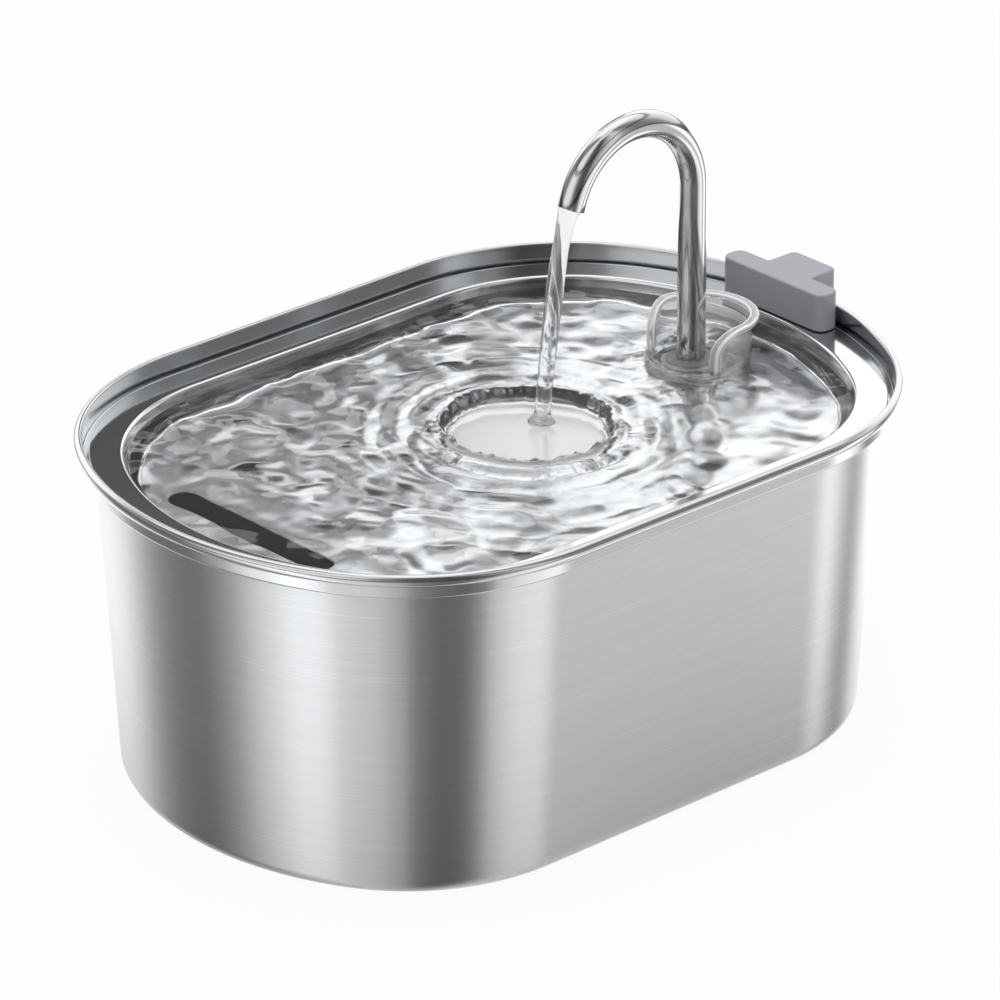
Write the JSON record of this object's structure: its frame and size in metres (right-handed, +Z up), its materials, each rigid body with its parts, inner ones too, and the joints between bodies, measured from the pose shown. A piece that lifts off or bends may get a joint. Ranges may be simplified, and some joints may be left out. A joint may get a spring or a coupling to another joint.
{
  "type": "pet water fountain",
  "caption": "Oval stainless steel pet water fountain: deep tank, drop-in drinking tray with a drain slot, gooseneck faucet, clear splash collar, pump in a filter box.",
  "frame": {"origin": "middle of the flat resting face under the tank", "axes": "+Z up, +X along the oval towards the faucet"},
  "size_m": [0.286, 0.2006, 0.2014],
  "materials": {
    "steel_body": "fine horizontal brushing",
    "steel_tray": "polished",
    "steel_polished": "polished",
    "clear_plastic": "clear",
    "plastic_grey": "satin",
    "plastic_white": "satin",
    "plastic_black": "satin",
    "plastic_blue": "semi-gloss",
    "silicone_clear": "translucent",
    "silicone_grey": "matte",
    "silicone_black": "matte",
    "rubber_black": "matte",
    "fleece": "needled",
    "carbon": "granular",
    "foam": "open cell",
    "magnet": "sintered",
    "ceramic": "ground",
    "lamination": "stamped",
    "copper": "enamelled wire",
    "resin": "cast"
  },
  "bodies": {
    "tank_body": {"tank": "steel_body", "base_pad": "silicone_black", "filter_box": "plastic_white", "filter_cartridge": "plastic_white", "filter_fleece": "fleece", "carbon_fill": "carbon", "prefilter_sponge": "foam", "pump_housing": "plastic_black", "chamber_seal": "rubber_black", "pump_cover": "plastic_black", "impeller_shaft": "ceramic", "front_bush": "rubber_black", "rear_bush": "rubber_black", "stator_core": "lamination", "stator_coils": "copper", "potting": "resin", "suction_cups": "silicone_clear", "cable_gland": "rubber_black"},
    "tray_body": {"tray": "steel_tray", "socket_gasket": "silicone_clear", "faucet_socket": "plastic_white", "lock_ring": "plastic_white", "riser_hose": "silicone_clear"},
    "collet_body": {"faucet_collet": "silicone_grey"},
    "faucet_body": {"faucet_tube": "steel_polished", "tube_o_rings": "rubber_black"},
    "collar_body": {"splash_collar": "clear_plastic"},
    "guide_body": {"cable_guide": "plastic_grey"},
    "impeller_body": {"impeller": "plastic_blue", "rotor_magnet": "magnet"},
    "slider_body": {"flow_slider": "plastic_black"},
    "lid_body": {"filter_lid": "plastic_white"}
  },
  "joints": [
    {"name": "tray_lift", "type": "slide", "parent": "tank_body", "child": "tray_body", "axis": [0, 0, 1], "range_m": [0, 0.1]},
    {"name": "faucet_pull", "type": "slide", "parent": "tray_body", "child": "collet_body", "axis": [0, 0, 1], "range_m": [0, 0.018]},
    {"name": "faucet_swivel", "type": "hinge", "parent": "collet_body", "child": "faucet_body", "pos_m": [0.0887, 0, 0.1025], "axis": [0, 0, 1], "range_deg": [-90, 90]},
    {"name": "collar_lift", "type": "slide", "parent": "tray_body", "child": "collar_body", "axis": [0, 0, 1], "range_m": [0, 0.05]},
    {"name": "guide_lift", "type": "slide", "parent": "tray_body", "child": "guide_body", "axis": [0, 0, 1], "range_m": [0, 0.015]},
    {"name": "impeller_spin", "type": "hinge", "parent": "tank_body", "child": "impeller_body", "pos_m": [0.0887, 0, 0.0226], "axis": [1, 0, 0], "continuous": true},
    {"name": "regulator_slide", "type": "slide", "parent": "tank_body", "child": "slider_body", "axis": [0, 1, 0], "range_m": [0, 0.006]},
    {"name": "lid_lift", "type": "slide", "parent": "tank_body", "child": "lid_body", "axis": [0, 0, 1], "range_m": [0, 0.035]}
  ]
}
